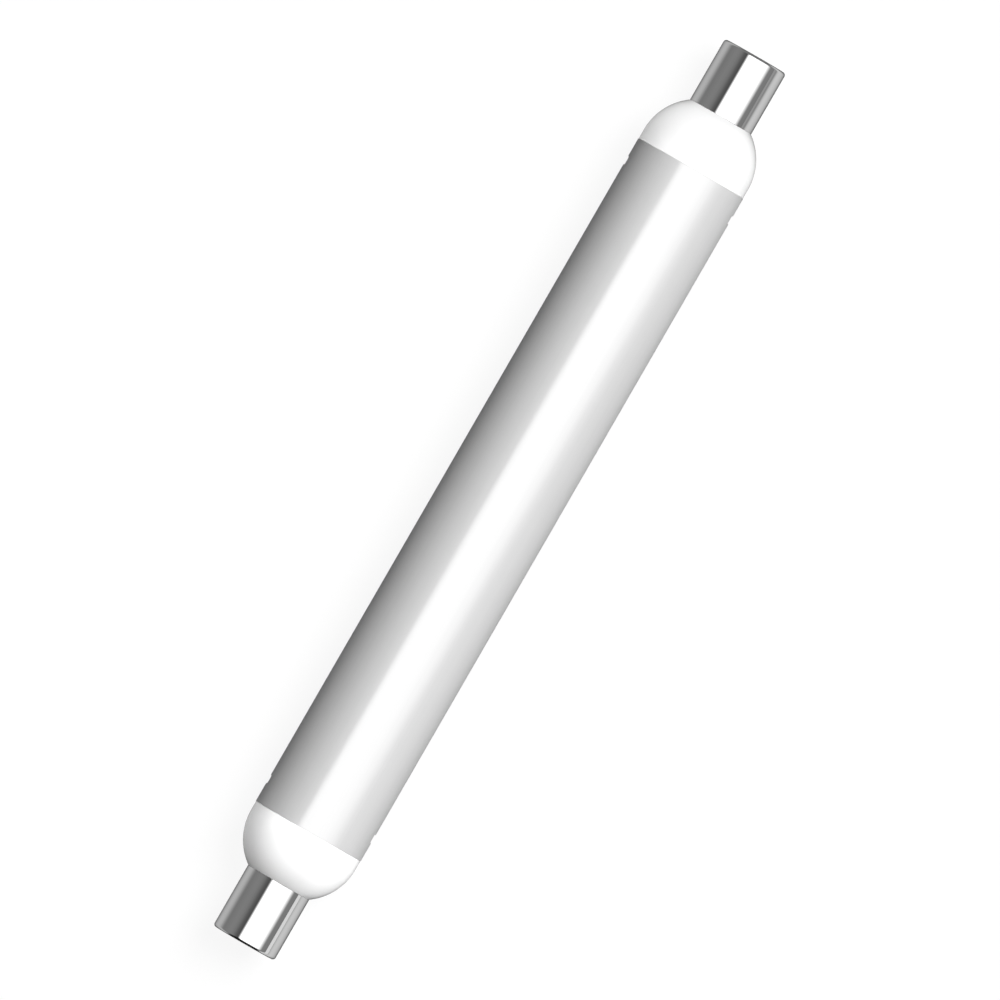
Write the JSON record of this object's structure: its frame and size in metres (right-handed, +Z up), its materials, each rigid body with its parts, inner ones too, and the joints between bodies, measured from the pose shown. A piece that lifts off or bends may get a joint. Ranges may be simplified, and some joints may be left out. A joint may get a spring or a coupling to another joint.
{
  "type": "tubular light bulb",
  "caption": "Tubular strip lamp: a satin light tube plugged at each end by a white domed housing that carries a chrome cap for a spring-clip lampholder.",
  "frame": {"origin": "middle of the lamp's axis, halfway between the end faces of its caps", "axes": "+X along the lamp's axis towards the right cap, +Z up out of the side that is seen from above when it lies down, +Y across, through the snap windows"},
  "size_m": [0.221, 0.0262, 0.0262],
  "materials": {
    "tube": "satin, silver-grey, opal",
    "housing": "gloss moulded white",
    "cap": "polished plated sheet",
    "solder": "dull tin solder"
  },
  "bodies": {
    "root": {"light_tube": "tube", "end_housings": "housing", "cap_ferrule_left": "cap", "cap_ferrule_right": "cap", "solder_contact_left": "solder", "solder_contact_right": "solder"}
  },
  "joints": []
}
